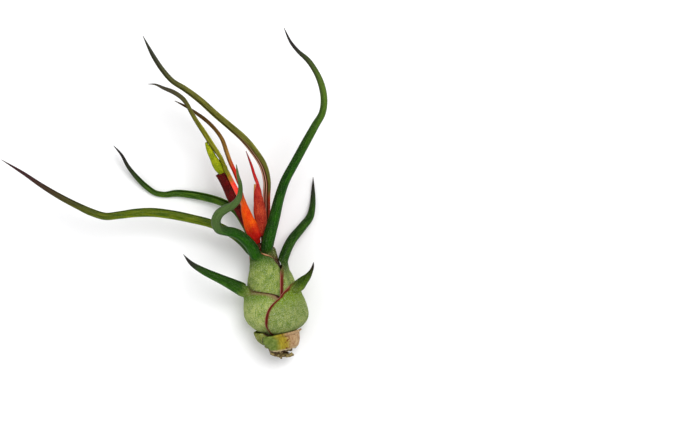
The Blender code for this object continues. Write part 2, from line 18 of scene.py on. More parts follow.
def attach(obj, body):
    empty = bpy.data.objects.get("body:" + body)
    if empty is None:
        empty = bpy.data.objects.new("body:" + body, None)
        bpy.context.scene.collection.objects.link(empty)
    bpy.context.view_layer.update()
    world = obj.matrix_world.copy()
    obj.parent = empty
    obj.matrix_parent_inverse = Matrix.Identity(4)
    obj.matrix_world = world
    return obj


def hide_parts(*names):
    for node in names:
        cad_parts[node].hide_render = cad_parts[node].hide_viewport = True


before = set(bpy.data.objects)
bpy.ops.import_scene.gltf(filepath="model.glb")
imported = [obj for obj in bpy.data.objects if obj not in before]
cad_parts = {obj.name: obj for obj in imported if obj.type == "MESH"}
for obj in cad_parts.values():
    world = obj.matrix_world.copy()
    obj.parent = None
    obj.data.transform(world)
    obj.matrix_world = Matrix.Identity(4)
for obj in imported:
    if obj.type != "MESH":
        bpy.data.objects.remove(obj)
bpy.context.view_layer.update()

# %% [markdown]
# ## From a place in the picture to a place on the table
#
# The plant lies on its side and the lens looks straight down on it. So a spot in the picture plus a height
# above the table is a real place. The bulb is 62 pixels wide in the picture and 24 mm in life, which gives
# the scale at the table, and what is higher is nearer the lens and so a little smaller per pixel.

# %% Scale and places
MM = 0.001
UP = np.array((0.0, 0.0, 1.0))
MM_PER_PIXEL = 0.38
PICTURE_WIDTH = 679
PICTURE_MIDDLE = (339.5, 215.5)
REST_PIXEL = (269.4, 309.9)
LENS_HEIGHT = 900.0
BULB_FOOT = (281.0, 350.0, 9.3)


def from_picture(pixel_x, pixel_y, height):
    """The real place, in millimetres, that the lens sees at this pixel and this height."""
    scale = MM_PER_PIXEL * (1.0 - height / LENS_HEIGHT)
    lens_x = (PICTURE_MIDDLE[0] - REST_PIXEL[0]) * MM_PER_PIXEL
    lens_y = (REST_PIXEL[1] - PICTURE_MIDDLE[1]) * MM_PER_PIXEL
    return np.array((
        lens_x + (pixel_x - PICTURE_MIDDLE[0]) * scale,
        lens_y + (PICTURE_MIDDLE[1] - pixel_y) * scale,
        height,
    ))


def unit(vector):
    """A vector of length 1 in the same direction."""
    return vector / np.linalg.norm(vector)


def ease(share):
    """A step from 0 to 1 with soft ends."""
    share = np.clip(share, 0.0, 1.0)
    return share * share * (3.0 - 2.0 * share)


print("the bulb's foot is at", from_picture(*BULB_FOOT).round(1), "mm")

# %% [markdown]
# ## Layers that never cross
#
# Each leaf base wraps over the ones inside it. To lay a sheet over a heap of others without crossing them,
# one could push it out by a shrinkwrap or a cloth solver. A map is simpler and always gives the same result:
# for every height along the bulb and every turn round it, it remembers how far out the plant reaches so far.
# A new leaf reads the map, stays outside it, and is then added to it.

# %% The map of the bulb
MAP_STEP = 0.5
MAP_TURNS = 72
MAP_SPREAD_HEIGHT = 1
MAP_SPREAD_TURN = 2
MAP_REACH = 20.0
MAP_FADE = 3.0
MAP_BELOW = 1.0


class Girth:
    """How far the plant reaches out from an axis, at each height and turn.

    Turn 0 points right in the picture, and 90 degrees points up to the lens.
    """

    def __init__(self, foot, top, length):
        self.foot = foot
        self.along = unit(top - foot)
        self.right = unit(np.cross(self.along, UP))
        self.front = np.cross(self.right, self.along)
        self.length = length
        self.reach = np.zeros((int(length / MAP_STEP) + 1, MAP_TURNS))
        self.hull = self.reach

    def place(self, height, turn, radius):
        """The points at these heights, turns and radii."""
        height, turn, radius = np.broadcast_arrays(height, turn, radius)
        return (
            self.foot
            + height[..., None] * self.along
            + (radius * np.cos(turn))[..., None] * self.right
            + (radius * np.sin(turn))[..., None] * self.front
        )

    def measure(self, points):
        """The height, turn and radius of each point."""
        offset = points - self.foot
        right, front = offset @ self.right, offset @ self.front
        return offset @ self.along, np.arctan2(front, right), np.hypot(right, front)

    def add(self, points, half_wall):
        """Counts a layer in, and spreads its edges out evenly."""
        height, turn, radius = self.measure(points)
        near = (height > 0) & (height < self.length) & (radius < MAP_REACH)
        rows = np.rint(height[near] / MAP_STEP).astype(int)
        columns = np.rint(turn[near] / math.tau * MAP_TURNS).astype(int) % MAP_TURNS
        np.maximum.at(self.reach, (rows, columns), (radius + half_wall)[near])
        widest = self.spread(self.reach, np.maximum.reduce)
        self.hull = self.spread(widest, lambda layers: sum(layers) / len(layers))

    @staticmethod
    def spread(grid, combine):
        """Combines each cell with its neighbours, first along the axis and then round it."""
        padded = np.pad(grid, ((MAP_SPREAD_HEIGHT, MAP_SPREAD_HEIGHT), (0, 0)), mode="edge")
        rows = len(grid)
        grid = combine([padded[i : i + rows] for i in range(2 * MAP_SPREAD_HEIGHT + 1)])
        return combine([np.roll(grid, i, axis=1) for i in range(-MAP_SPREAD_TURN, MAP_SPREAD_TURN + 1)])

    def clear(self, height, turn):
        """The radius outside what is there, which fades away past the end of the axis."""
        last_row = len(self.hull) - 1.001
        row = np.clip(height / MAP_STEP, 0, last_row)
        column = (turn / math.tau * MAP_TURNS) % MAP_TURNS
        r, c = row.astype(int), column.astype(int) % MAP_TURNS
        down, side = row - r, column - np.floor(column)
        after = (c + 1) % MAP_TURNS
        low = self.hull[r, c] * (1 - side) + self.hull[r, after] * side
        high = self.hull[r + 1, c] * (1 - side) + self.hull[r + 1, after] * side
        past_end = ease((height - self.length + MAP_FADE) / MAP_FADE)
        return (low * (1 - down) + high * down) * (1 - past_end) * (height > -MAP_BELOW)


bulb = Girth(from_picture(*BULB_FOOT), from_picture(264.5, 252.0, 12.6), 47.0)
spikes = {
    "left": Girth(from_picture(258.4, 245.0, 15.4), from_picture(210.2, 149.1, 23.0), 43.0),
    "right": Girth(from_picture(264.0, 243.5, 12.6), from_picture(256.0, 184.0, 18.4), 27.0),
}
print("map of the bulb:", bulb.reach.shape, "heights by turns")

# %% [markdown]
# ## Smooth lines from a few rows
#
# A leaf is written down as a short table of rows. Between them runs a cubic curve whose slopes come from the
# neighbouring rows. Widths use a stricter slope that never swings past the rows, or thin leaves would swell.

# %% Smooth rows
SPINE_STEP = 0.4


def smooth_rows(rows):
    """A point every SPINE_STEP along rows that start with a place, and where each row comes."""
    rows = np.array(rows, float)
    steps = np.linalg.norm(np.diff(rows[:, :3], axis=0), axis=1)
    slopes = np.diff(rows, axis=0) / steps[:, None]
    before, after = slopes[:-1], slopes[1:]
    place = (before * steps[1:, None] + after * steps[:-1, None]) / (steps[:-1] + steps[1:])[:, None]
    product = before * after
    value = np.where(product > 0, 2 * product / (before + after + (product <= 0)), 0.0)
    middle = np.where(np.arange(rows.shape[1]) < 3, place, value)
    tangents = np.vstack((slopes[:1], middle, slopes[-1:]))
    points, marks = [], [0]
    for i, step in enumerate(steps):
        last = i == len(steps) - 1
        t = np.linspace(0.0, 1.0, max(2, math.ceil(step / SPINE_STEP)), endpoint=last)[:, None]
        points.append(
            (1 + 2 * t) * (1 - t) ** 2 * rows[i]
            + t * (1 - t) ** 2 * step * tangents[i]
            + t * t * (3 - 2 * t) * rows[i + 1]
            + t * t * (t - 1) * step * tangents[i + 1]
        )
        marks.append(marks[-1] + len(t) - last)
    return np.vstack(points), marks


# %% [markdown]
# ## One leaf: a sheath that becomes a rolled blade
#
# The leaf base is a sheath, an open cup round the bulb's axis, so its ribs are arcs round that axis. The
# blade is the same sheet rolled up round its own middle, so its ribs are small arcs round the blade's spine.
# Where one turns into the other, the matching points of both kinds of rib are mixed with a soft step.

# %% Ribs of the sheath
WALL = 0.75
BRACT_WALL = 0.6
GAP = 0.45
MARGIN_HUG = 8
TIP_WIDTH = 0.8
CLOSED_CURL = 158.0
OPEN_CURL = 95.0
CURL_WIDTH = 2.2
TIP_FLESH = 0.07
RUN_IN = 0.7
NOTHING_INSIDE = 0.05


def sheath_ribs(leaf, girth, across, run_on, extra_count):
    """Arcs round the axis, and extra ones like the last over run_on more millimetres."""
    rows = [
        (height, radius, 0.0, math.radians(half_turn), math.radians(*(skew or (0.0,))))
        for height, radius, half_turn, *skew in leaf["sheath"]
    ]
    base, _ = smooth_rows(rows)
    extra = np.repeat(base[-1:], extra_count, axis=0)
    extra[:, 0] += run_on * np.arange(1, extra_count + 1) / (extra_count + 1)
    height, radius, _, half_turn, skew = np.vstack((base, extra)).T[:, :, None]
    ribs = girth.place(height, math.radians(leaf["turn"]) + skew + half_turn * across, radius)
    return ribs[: len(base)], ribs[len(base) :]


# %% Ribs of the blade
POINT_SHARE = 0.3


def blade_rows(leaf):
    """The blade's table as place, radius, half turn of the roll, and wall. The last row is a fine point."""
    rows = []
    for number, (pixel_x, pixel_y, height, width, *curl) in enumerate(leaf["blade"]):
        if number == len(leaf["blade"]) - 1:
            width *= POINT_SHARE
        wall = min(leaf.get("wall", WALL), 0.5 * width - TIP_FLESH)
        closing = OPEN_CURL + (CLOSED_CURL - OPEN_CURL) * min(1.0, max(0.0, width - TIP_WIDTH) / CURL_WIDTH)
        half_turn = math.radians(*(curl or (closing,)))
        rows.append((*from_picture(pixel_x, pixel_y, height), (width - wall) / 2, half_turn, wall))
    return rows


def blade_ribs(leaf, start, outward, upward, across):
    """Arcs round the blade's spine, from where its back leaves the sheath.

    With them come the wall at each, and how many of them lie before the table's first row.
    """
    rows = blade_rows(leaf)
    root = start - rows[0][3] * outward
    run_in = RUN_IN * np.linalg.norm(rows[0][:3] - root)
    spine, marks = smooth_rows([(*(root - run_in * upward), *rows[0][3:]), (*root, *rows[0][3:]), *rows])
    tangent = np.gradient(spine[:, :3], axis=0)[marks[1] :]
    spine = spine[marks[1] :]
    place, radius, half_turn, wall = spine[:, :3], spine[:, 3], spine[:, 4], spine[:, 5]
    ribs = np.empty((len(spine), len(across), 3))
    for i in range(len(spine)):
        upward = unit(tangent[i])
        outward = unit(outward - (outward @ upward) * upward)
        side = np.cross(outward, upward)
        angle = (across * half_turn[i])[:, None]
        ribs[i] = place[i] + radius[i] * (np.cos(angle) * outward + np.sin(angle) * side)
    return ribs, wall, marks[2] - marks[1]


# %% The whole leaf, settled on what lies inside it
def leaf_surface(leaf, girth, across):
    """The middle surface as ribs from foot to tip.

    With it come the wall at each rib, and its share from sheath (0) to blade (1).
    """
    turn = math.radians(leaf["turn"])
    outward = math.cos(turn) * girth.right + math.sin(turn) * girth.front
    wall = leaf.get("wall", WALL)
    if "blade" in leaf:
        height, radius = leaf["sheath"][-1][:2]
        start = girth.foot + height * girth.along + radius * outward
        blade, blade_wall, first = blade_ribs(leaf, start, outward, girth.along, across)
        run_on = (blade[first] - blade[0]).mean(axis=0) @ girth.along
        base, extra = sheath_ribs(leaf, girth, across, run_on, first)
        share = ease(np.arange(1, first + 1) / (first + 1))
        mixed = extra + share[:, None, None] * (blade[1 : first + 1] - extra)
        ribs = np.vstack((base, mixed, blade[first + 1 :]))
        share = np.concatenate((np.zeros(len(base)), share, np.ones(len(blade) - first - 1)))
        wall = np.concatenate((np.full(len(base), wall), blade_wall[1:]))
    else:
        ribs, _ = sheath_ribs(leaf, girth, across, 0.0, 0)
        share = np.zeros(len(ribs))
        wall = np.full(len(ribs), wall)
    height, angle, reach = girth.measure(ribs)
    beside = leaf.get("gap", GAP) + wall[:, None] / 2
    clear = girth.clear(height, angle) + beside
    hug = np.abs(across) ** MARGIN_HUG * (1 - share)[:, None]
    settled = np.maximum(reach + (clear - reach) * hug, clear)
    settled = np.where(clear > beside + NOTHING_INSIDE, settled, reach)
    return girth.place(height, angle, settled), wall, share


FEWEST_ROWS = 4


def chosen_rows(back, spacing, bend):
    """Which of the closely spaced ribs go into the mesh: more of them where the leaf's back bends."""
    steps = np.diff(back, axis=0)
    lengths = np.linalg.norm(steps, axis=1)
    along = steps / lengths[:, None]
    bends = np.arccos(np.clip((along[1:] * along[:-1]).sum(axis=1), -1.0, 1.0))
    by_length = np.concatenate(((0.0,), lengths / spacing))
    by_bend = np.concatenate(((0.0,), bends / bend, (0.0,)))
    run = np.cumsum(by_length + by_bend)
    count = max(FEWEST_ROWS, round(run[-1]) + 1)
    return np.unique(np.searchsorted(run, np.linspace(0.0, run[-1], count) - 1e-9))


# %% [markdown]
# ## The leaves, written down
#
# These are the plant's own numbers, read off the picture leaf by leaf, from the inner ones to the outer ones.
# "turn" is where round the bulb the leaf's back is. A "sheath" row is height along the bulb, radius, half of
# the turn that the sheath wraps, and sometimes a twist. A "blade" row is a place in the picture, a height
# above the table and a width. "gap" is room to the layer inside, "torn" is how far a torn edge frays, and
# "points" asks for more points across a wide sheath.

# %% Tables of leaves and bracts
LEAVES = {
    "leaf_tall_olive": {
        "turn": 305,
        "sheath": [(17, 2.4, 95), (21, 3.2, 90), (26, 3.4, 80), (31, 3.4, 75), (36, 3.1, 65)],
        "blade": [
            (264.8, 240, 9.6, 3.1), (265.8, 228, 10.6, 3), (266.4, 218, 11.8, 2.9),
            (266.5, 208.9, 13.2, 2.9), (266.4, 197, 15, 2.9), (266.8, 181, 17.5, 3),
            (262.8, 165.2, 20.5, 3.1), (254, 151.2, 22.5, 3.1), (243.8, 139, 25, 3), (230.8, 127.4, 27, 2.8),
            (215.6, 114.6, 29, 2.7), (200, 100.5, 31, 2.6), (184.7, 89.1, 33, 2.4), (172.2, 81.2, 34.5, 2.2),
            (163, 71.1, 36, 2.1), (153.9, 57.6, 38, 1.9), (142.8, 35.8, 41, 0.8),
        ],
    },
    "leaf_left": {
        "turn": 232,
        "sheath": [(15.2, 2.4, 95), (19, 3.4, 90), (24, 4, 85), (29, 4.2, 76), (34, 4, 65)],
        "blade": [
            (254.5, 242, 9, 3.6), (245, 223, 7.8, 3.4), (235, 209.5, 6.8, 3.1), (222, 202.2, 5.6, 3.1),
            (206.6, 197.4, 4.1, 3.1), (191.3, 194.5, 2.7, 3), (176, 193.1, 1.6, 2.8),
            (163.8, 194.3, 1.05, 2.35), (156, 192.9, 1.1, 2.3), (147, 187, 1.8, 2.3),
            (137.8, 178.1, 3.2, 2.1), (127.8, 165.4, 5, 1.7), (122.2, 155.2, 6.4, 1.3),
            (113.6, 145.6, 8, 0.8),
        ],
    },
    "leaf_tall_right": {
        "turn": 42,
        "sheath": [
            (13.6, 2.8, 100), (17, 4.6, 95), (22, 5.6, 92), (27, 5.1, 86), (32, 4.1, 80, 5),
            (36, 3.1, 80, 14),
        ],
        "blade": [
            (267.3, 244, 17.6, 4.9), (270.6, 230.5, 18.8, 4.7), (274.4, 216.5, 20.6, 4.4),
            (278.4, 200, 23, 4), (284.6, 181.4, 27, 3.7), (295.6, 160.7, 31, 3.5), (305.2, 143, 35, 3.4),
            (315.2, 125, 38.5, 3.1), (321.9, 113.2, 40, 2.8), (323.8, 100.7, 42, 2.7), (321.6, 86, 44, 2.6),
            (316.3, 73, 46, 2.3), (307.9, 60.5, 47.5, 2.1), (297.5, 51, 49, 1.6), (291, 43, 50, 1.3),
            (284, 28, 51, 0.8),
        ],
    },
    "leaf_long_left": {
        "turn": 192,
        "sheath": [
            (12, 2.8, 100), (15.5, 5, 95), (20, 6.2, 90), (25, 6.2, 85), (30, 5.2, 74), (34, 4.2, 60),
        ],
        "blade": [
            (250.8, 250.5, 12.6, 3.8), (241, 240, 13, 3.6), (227, 230.5, 13.8, 3.4),
            (211.2, 223.5, 14.8, 3.4), (191.3, 218.4, 16.2, 3.5), (171.4, 214.4, 17.2, 3.6),
            (153, 212.2, 18, 3.6), (134.7, 212.8, 18.6, 3.4), (119.4, 214.8, 19, 3.1),
            (105.6, 216.1, 19.4, 3), (91.5, 212, 20, 3), (76.5, 205, 21, 2.7), (61.2, 197, 22, 2.5),
            (41.3, 184.9, 23, 2.1), (23, 172.4, 24, 1.6), (1.4, 159.6, 25, 0.8),
        ],
    },
    "leaf_hook": {
        "turn": 128, "points": "wide",
        "sheath": [
            (9.8, 3.2, 99), (12, 6, 101, 3), (15.5, 8.1, 103, 4), (20, 8.8, 103, 4), (25, 8.4, 98),
            (29, 7.5, 87, -11), (32, 6.4, 74, -16), (34, 5.6, 62, -18),
        ],
        "blade": [
            (255.8, 254.5, 16.9, 4.9), (252, 247.3, 19.3, 4.5), (245.2, 239.3, 22.8, 4.2),
            (235, 232.6, 27, 3.9), (225.5, 230.6, 30.5, 3.8), (218.6, 228.6, 33.5, 3.6),
            (216, 220.8, 36, 3.6), (219.4, 213.4, 38, 3.5), (225.6, 209, 39.5, 3.2), (232.4, 205.6, 41, 2.8),
            (238, 199.8, 42.5, 2.4), (240.4, 191.5, 44, 1.9), (240.1, 183, 46, 1.6), (238, 175, 48, 1.2),
            (236.3, 164.5, 50, 0.8),
        ],
    },
    "leaf_right": {
        "turn": 6,
        "sheath": [
            (8.2, 3.3, 75), (10.5, 6.3, 80), (14, 8.8, 76), (18, 9.5, 68), (22.9, 9.4, 62), (26.7, 8.7, 56),
            (29.3, 7.7, 50),
        ],
        "blade": [
            (282.6, 260.5, 13.6, 4.2), (285.2, 252.5, 13, 4.1), (290.4, 241.5, 11, 4),
            (301.4, 227.5, 7.4, 3.6), (309.6, 216.5, 4.6, 3.2), (312, 206, 2.4, 2.7), (312.5, 196, 1, 2.25),
            (312.5, 187, 1.7, 1.6), (312.9, 176.8, 3.2, 0.8),
        ],
    },
    "leaf_low_left": {
        "turn": 168, "points": "wide", "gap": 0.6,
        "sheath": [
            (5.8, 4, 95), (7.2, 5.1, 105), (8.2, 6.2, 112), (9.3, 7.6, 118), (10.6, 9, 122),
            (12.2, 10.25, 124), (14.5, 11.1, 125), (17, 11.1, 119), (19.2, 10.75, 108), (21, 10.3, 95),
        ],
        "blade": [
            (242.8, 289.8, 15.8, 5.4), (233, 284.6, 17.4, 4.7), (222.8, 279.7, 19, 3.9),
            (213.3, 275.4, 20.4, 3.4), (203.7, 270.8, 21.6, 2.9), (192.2, 263.5, 23, 2.1),
            (183.5, 254.4, 24, 0.8),
        ],
    },
    "leaf_low_right": {
        "turn": 33, "points": "wide",
        "sheath": [
            (4.6, 4.2, 72, -3), (6, 5.6, 78, -3), (7, 6.8, 82, -4), (8.3, 9.4, 83, -5), (10.4, 11.6, 83, -5),
            (14.5, 12.2, 77, -4), (17.5, 11.6, 67, -2), (19.8, 10.9, 52), (21, 10.8, 42),
        ],
        "blade": [
            (298.6, 285.4, 19, 4.8), (303.3, 280.3, 20.6, 3.9), (307.6, 275.9, 22, 2.8),
            (310.4, 271.2, 23, 1.9), (312.5, 266.3, 24, 1.2), (313.4, 262.2, 24.8, 0.8),
        ],
    },
    "dry_sheath": {
        "torn": 1.8, "turn": 80,
        "sheath": [(-0.3, 3.5, 146), (0.5, 4.1, 156), (1.4, 4.4, 156), (2.2, 4.5, 148)],
    },
    "old_sheath_left": {
        "turn": 195,
        "sheath": [(2, 4.4, 70), (2.9, 5.4, 90), (4, 7, 96), (5.2, 8, 94), (6.8, 8.5, 88), (8.2, 8.7, 74)],
    },
    "old_sheath_front": {
        "torn": 0.9, "turn": 58,
        "sheath": [
            (0.4, 5.2, 76, -12), (1.2, 6.4, 82, -12), (2.4, 7.1, 85, -10), (3.6, 7.5, 86, -9),
            (4.8, 7.6, 82, -7), (6, 7.7, 72), (6.9, 7.7, 60, 6),
        ],
    },
}

FLOWER_LEAVES = {
    "spike_left_green_bract": {
        "axis": "left", "turn": 140,
        "sheath": [
            (21, 0.7, 120), (25, 0.8, 130), (28.5, 1, 128), (30.8, 1.2, 120), (32.4, 1.7, 112),
            (34.2, 1.8, 104), (37.4, 1.4, 94), (40.6, 0.95, 84), (43.4, 0.3, 22),
        ],
    },
    "spike_left_dark_bract": {
        "axis": "left", "turn": 150,
        "sheath": [
            (3.6, 1.3, 80), (9, 1.6, 95), (14.5, 2, 98), (20.5, 2.3, 98), (25.5, 2.2, 96), (29.3, 2.1, 90),
            (30.6, 2.05, 80),
        ],
    },
    "bract_left": {
        "axis": "left", "turn": -14,
        "sheath": [
            (3.6, 1.15, 82, -12), (7.5, 1.35, 90, -5), (14.5, 1.8, 88), (21, 2.35, 84), (26, 2.45, 82),
            (30.5, 2.3, 80),
        ],
        "blade": [
            (220.4, 159, 23.6, 2.2), (210.6, 143.5, 23.8, 2.3), (203, 131.6, 24.6, 2.2),
            (195.6, 120.6, 25.8, 2), (190.6, 112, 27.2, 1.9), (187.2, 105.4, 28.4, 1.9),
            (182.8, 99.4, 29.4, 2.1), (174, 93, 30.4, 2.1), (163, 88.5, 31.4, 1.7), (155, 85, 32.2, 1.1),
            (148, 84.2, 33, 0.8),
        ],
    },
    "bract_middle": {
        "axis": "left", "turn": 44,
        "sheath": [
            (1, 1.5, 34, 34), (2.6, 1.7, 50, 32), (5, 1.95, 56, 30), (8, 2.1, 58, 24), (11.6, 2.3, 50, 14),
            (15.6, 2.5, 36, 4), (17.4, 2.6, 28),
        ],
        "blade": [
            (240.2, 187, 19.2, 1.9), (234.8, 172.6, 18.8, 1.8), (230, 162, 18.4, 1.8),
            (226.4, 152, 18.4, 1.8), (221.9, 139.5, 18.8, 1.7), (214.2, 128.6, 19.6, 1.6),
            (205, 119.8, 20.4, 1.6), (195, 112.6, 21.2, 1.4), (186, 106.8, 21.8, 1.1),
            (174.6, 100.8, 22.4, 0.8),
        ],
    },
    "spike_right_bract": {
        "axis": "right", "turn": 152,
        "sheath": [
            (3.6, 0.9, 80), (8, 1.1, 105), (13, 1.4, 106), (17, 1.35, 96), (20.5, 0.95, 84), (23, 0.5, 68),
        ],
    },
    "bract_right": {
        "axis": "right", "turn": 48,
        "sheath": [
            (3.6, 1.2, 82, -8), (8, 1.9, 104, 9), (12, 2.2, 108, 12), (16, 1.8, 90, 4), (19, 1.3, 80),
        ],
        "blade": [
            (256.9, 183, 19, 1.5), (254.1, 175, 20.2, 1.3), (251.4, 166, 21.6, 1.1), (246, 151, 24, 0.8),
        ],
    },
}
for bract in FLOWER_LEAVES.values():
    bract.update(wall=BRACT_WALL)

# Stalks and roots, as rows of picture place, height above the table and radius
STEM = [
    (281.6, 352, 9.6, 2.9), (280.4, 346, 9.7, 3.1), (276, 320, 10.6, 2), (271.5, 294, 11.5, 1.5),
    (266, 260, 12.8, 1.2), (260.5, 247, 14.7, 1.1), (255, 238.5, 16.4, 0.75), (242.9, 215, 18.2, 0.6),
    (236.4, 201.4, 19.2, 0.45),
]
SIDE_STALK = [
    (265.8, 258.5, 12.9, 0.7), (264.5, 247, 12.6, 0.75), (263, 236, 13.4, 0.7), (259.5, 210, 15.9, 0.45),
]
CROWN = [(281.9, 353.2, 9.3, 2.4), (282.4, 355.4, 9.1, 1.7)]
ROOTS = [
    [(281.4, 354.9, 10.4, 0.7), (275.6, 354.9, 12.6, 0.6), (270.6, 353.3, 13.0, 0.45)],
    [(283.4, 354.9, 10.4, 0.8), (288.2, 355.0, 12.2, 0.65), (292.2, 353.7, 12.8, 0.5)],
    [(283.0, 354.9, 9.0, 0.7), (288.6, 355.7, 7.6, 0.6), (293.2, 354.7, 6.4, 0.45)],
    [(281.6, 354.9, 8.8, 0.7), (280.4, 356.7, 9.6, 0.55), (281.2, 357.9, 10.6, 0.4)],
    [(281.4, 354.9, 8.6, 0.7), (276.4, 355.5, 6.8, 0.55), (273.0, 354.5, 5.4, 0.45)],
]
print("leaves:", len(LEAVES), "bracts:", len(FLOWER_LEAVES), "roots:", len(ROOTS))


# %% [markdown]
# ## From ribs to a fine sheet
#
# Blender can bend a flat grid into any open sheet. Each vertex of a new grid knows its row and column, so it
# moves to the matching point of the ribs, and a Solidify modifier then gives the sheet its wall. Real leaf
# margins are thin as paper and lie close on the leaf inside, so the wall thins and tucks in there.
#
# Patterns must follow the leaf and not the room. So every vertex keeps where it is on the leaf, in
# millimetres, in two named attributes that the materials read later: how far across and along, and how far
# from the margin, from the blade's root and from the tip.

# %% A grid bent to points
WELD = 1e-6


def finished_mesh(name, built):
    """A smoothly shaded mesh out of a bmesh, which is then let go."""
    mesh = bpy.data.meshes.new(name)
    built.to_mesh(mesh)
    built.free()
    mesh.shade_smooth()
    return mesh


def add_object(name, data):
    """A new object in the scene."""
    made = bpy.data.objects.new(name, data)
    bpy.context.scene.collection.objects.link(made)
    return made


def sheet_mesh(name, points, walls=None, vectors=None, closed=False):
    """A grid bent to these points (rows, columns, 3) in millimetres.

    walls is each point's share of the full wall, and vectors are its named values. closed welds the first
    column to the last, for a tube.
    """
    rows, columns = points.shape[:2]
    sheet = bmesh.new()
    bmesh.ops.create_grid(sheet, x_segments=columns - 1, y_segments=rows - 1, size=1.0)
    wall = sheet.verts.layers.deform.verify()
    layers = {key: sheet.verts.layers.float_vector.new(key) for key in vectors or {}}
    for vert in sheet.verts:
        row = round((vert.co.y + 1) / 2 * (rows - 1))
        column = round((vert.co.x + 1) / 2 * (columns - 1))
        for key, layer in layers.items():
            vert[layer] = vectors[key][row, column]
        if walls is not None:
            vert[wall][0] = walls[row, column]
        vert.co = points[row, column] * MM
    if closed:
        bmesh.ops.remove_doubles(sheet, verts=sheet.verts, dist=WELD)
        bmesh.ops.recalc_face_normals(sheet, faces=sheet.faces)
    return finished_mesh(name, sheet)


def add_piece(name, mesh, material, *nodes):
    """Puts a finished mesh on the plant in place of these solids."""
    piece = add_object(name, mesh)
    mesh.materials.append(material)
    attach(piece, "root")
    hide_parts(*nodes)
    return piece


# %% A leaf with a place on it for every point
FINE_SPACING = 0.8
FINE_BEND = math.radians(5.0)
MARGIN_WALL = 0.3
MARGIN_TUCK = 0.42
MARGIN_POWER = 10
THINNING_POWER = 5
LUMP_SIZE = 5.0
LUMP_HEIGHT = 0.28
DEEPEST_DENT = -0.1
TEAR_SIZE = 1.1
TEAR_LENGTH = 1.4
TEAR_SET_BACK = 0.3
NO_BLADE = 200.0
MAP_POINTS = 61


def unevenness(points, size, height, seed):
    """A slow rise and fall over a surface, as one number for each point, as nothing that grew is even."""
    flat = points.reshape(-1, 3) / size + seed
    values = [noise.noise(Vector(place)) for place in flat]
    return height * np.array(values).reshape(points.shape[:-1])


def across_lengths(points):
    """For each point, how far it is from its rib's middle, and how far from the nearer margin."""
    middle = points.shape[1] // 2
    steps = np.linalg.norm(np.diff(points, axis=1), axis=2)
    run = np.concatenate((np.zeros((len(points), 1)), np.cumsum(steps, axis=1)), axis=1)
    return run - run[:, middle : middle + 1], np.minimum(run, run[:, -1:] - run)


def grown_sheet(leaf, girth, across):
    """A leaf's points as they grew: margins tucked in, the sheath uneven, and the foot torn if it is old.

    With them come the wall and the length so far at each rib, and the length at which the blade begins.
    """
    points, wall, share = leaf_surface(leaf, girth, across)
    back = points[:, len(across) // 2]
    along = np.concatenate(((0.0,), np.cumsum(np.linalg.norm(np.diff(back, axis=0), axis=1))))
    root = along[np.searchsorted(share, 0.5)] if "blade" in leaf else along[-1] + NO_BLADE
    rows = chosen_rows(back, FINE_SPACING, FINE_BEND)
    points, wall, share, along = points[rows], wall[rows], share[rows], along[rows]
    sheath = (1 - share)[:, None]
    height, angle, reach = girth.measure(points)
    margin = np.abs(across) ** MARGIN_POWER
    lump = unevenness(points, LUMP_SIZE, LUMP_HEIGHT, leaf["turn"]) * sheath * (1 - margin)
    if "torn" in leaf:
        tears = np.abs(unevenness(points, TEAR_SIZE, leaf["torn"], leaf["turn"] * 2))
        height = height + (tears - TEAR_SET_BACK * leaf["torn"]) * np.exp(-along / TEAR_LENGTH)[:, None]
    reach = reach - MARGIN_TUCK * margin * sheath + np.maximum(lump, DEEPEST_DENT)
    points = girth.place(height, angle, reach)
    points[..., 2] = np.maximum(points[..., 2], wall[:, None] / 2)
    return points, wall, along, root


def leaf_places(leaf, points, along, root):
    """The two named attributes: across, along and a seed, then how far from the margin, root and tip."""
    arc, edge = across_lengths(points)
    along = np.broadcast_to(along[:, None], arc.shape)
    to_tip = along[-1] - along if "blade" in leaf else np.full_like(along, NO_BLADE)
    return {
        "place_mm": np.stack((arc, along, np.full_like(arc, leaf["turn"])), axis=-1),
        "spot_mm": np.stack((edge, along - root, to_tip), axis=-1),
    }


def add_leaf(name, leaf, girth, others, material, columns):
    """A leaf as a fine sheet, drawn over the layers inside it, which then counts as one of them."""
    across = np.linspace(-1, 1, columns)
    points, wall, along, root = grown_sheet(leaf, girth, across)
    wall = wall[:, None]
    thin = wall + (np.minimum(MARGIN_WALL, wall) - wall) * np.abs(across) ** THINNING_POWER
    mesh = sheet_mesh(name, points, thin / WALL, leaf_places(leaf, points, along, root))
    piece = add_piece(name + "_fine", mesh, material, name)
    piece.vertex_groups.new(name="wall")
    solidify = piece.modifiers.new("wall", "SOLIDIFY")
    solidify.thickness = WALL * MM
    solidify.offset = 0.0
    solidify.vertex_group = "wall"
    solidify.use_even_offset = False
    layer, wall, _ = leaf_surface(leaf, girth, np.linspace(-1, 1, MAP_POINTS))
    for each in (girth, *others):
        each.add(layer, wall[:, None] / 2)
    return piece


# %% [markdown]
# ## Shader maths that reads as Python
#
# A material is a graph of nodes, and every sum in it is a node too. Wiring them by hand is long to read. So
# one small class stands for what comes out of a node, and adding or multiplying two of them makes the Math
# node in between.

# %% Values that flow through a material
class Flow:
    """What comes out of one node. Sums and products of flows make their own Math nodes."""

    def __init__(self, paint, socket):
        self.paint = paint
        self.socket = socket

    def __add__(self, other):
        return self.paint.maths("ADD", self, other)

    def __sub__(self, other):
        return self.paint.maths("SUBTRACT", self, other)

    def __mul__(self, other):
        return self.paint.maths("MULTIPLY", self, other)

    def __truediv__(self, other):
        return self.paint.maths("DIVIDE", self, other)

    def __rsub__(self, other):
        return self.paint.maths("SUBTRACT", other, self)


